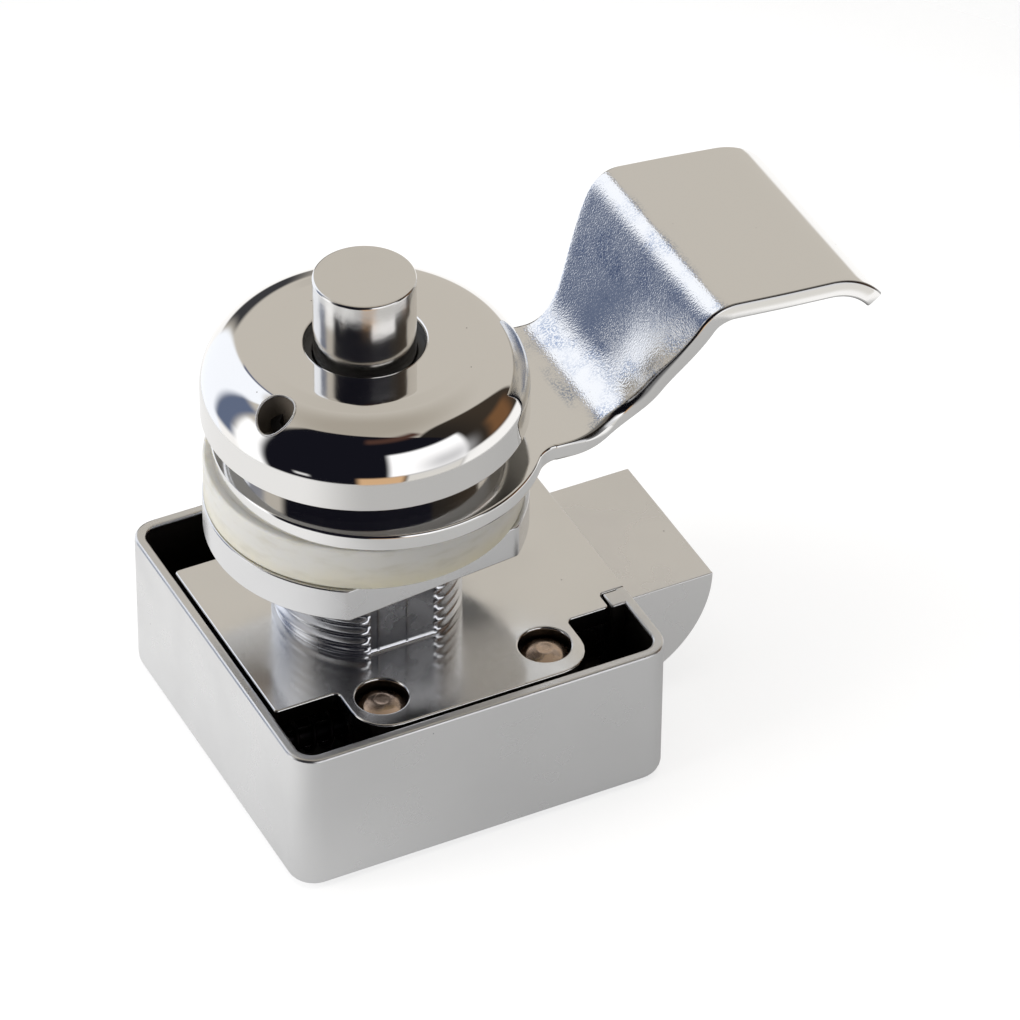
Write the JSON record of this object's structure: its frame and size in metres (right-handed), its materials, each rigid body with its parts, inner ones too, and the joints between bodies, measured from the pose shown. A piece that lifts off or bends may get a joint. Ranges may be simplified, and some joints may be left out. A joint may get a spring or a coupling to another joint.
{
  "type": "push button cabinet lock",
  "caption": "Cabinet door lock: a chrome push button on a threaded neck draws back a sprung latch bolt; a bent finger pull, washer and nut clamp it through the door.",
  "frame": {"origin": "on the neck's axis, on the back face of the case", "axes": "+Z out of the door along the button, +X the way the bolt leaves the case"},
  "size_m": [0.0709, 0.043, 0.0594],
  "materials": {
    "case_metal": "satin plated die casting",
    "cover_metal": "polished plated die casting",
    "rivet_metal": "copper brown, slightly tarnished",
    "nut_metal": "satin plated",
    "washer_plastic": "translucent olive yellow",
    "pull_metal": "plated sheet, finely grained",
    "rosette_chrome": "mirror chrome",
    "button_chrome": "mirror chrome",
    "bush_plastic": "black moulded",
    "bolt_metal": "satin casting",
    "inner_steel": "turned steel",
    "dark_steel": "blackened steel",
    "spring_steel": "drawn spring wire"
  },
  "bodies": {
    "lock_body": {"case": "case_metal", "cover": "cover_metal", "cover_rivets": "rivet_metal", "clamp_nut": "nut_metal", "spacer_washer": "washer_plastic", "finger_pull": "pull_metal", "rosette": "rosette_chrome", "set_screw": "dark_steel", "button_bush": "bush_plastic", "lower_spring_washer": "inner_steel", "button_spring": "spring_steel", "bolt_spring_front": "spring_steel", "bolt_spring_rear": "spring_steel", "guide_pin_front": "inner_steel", "guide_pin_rear": "inner_steel"},
    "button": {"push_button": "button_chrome", "plunger": "inner_steel", "button_pin": "inner_steel", "button_clip": "dark_steel", "upper_spring_washer": "inner_steel"},
    "bolt": {"latch_bolt": "bolt_metal"}
  },
  "joints": [
    {"name": "button_press", "type": "slide", "parent": "lock_body", "child": "button", "axis": [0, 0, -1], "range_m": [0, 0.007], "stiffness_N_per_m": 600, "springref_m": -0.005, "deforming": ["button_spring"]},
    {"name": "bolt_slide", "type": "slide", "parent": "lock_body", "child": "bolt", "axis": [-1, 0, 0], "range_m": [0, 0.0084], "stiffness_N_per_m": 300, "springref_m": -0.006, "deforming": ["bolt_spring_front", "bolt_spring_rear"]}
  ],
  "couplings": [
    {"joint": "bolt_slide", "follows": "button_press", "ratio": 1.2}
  ]
}
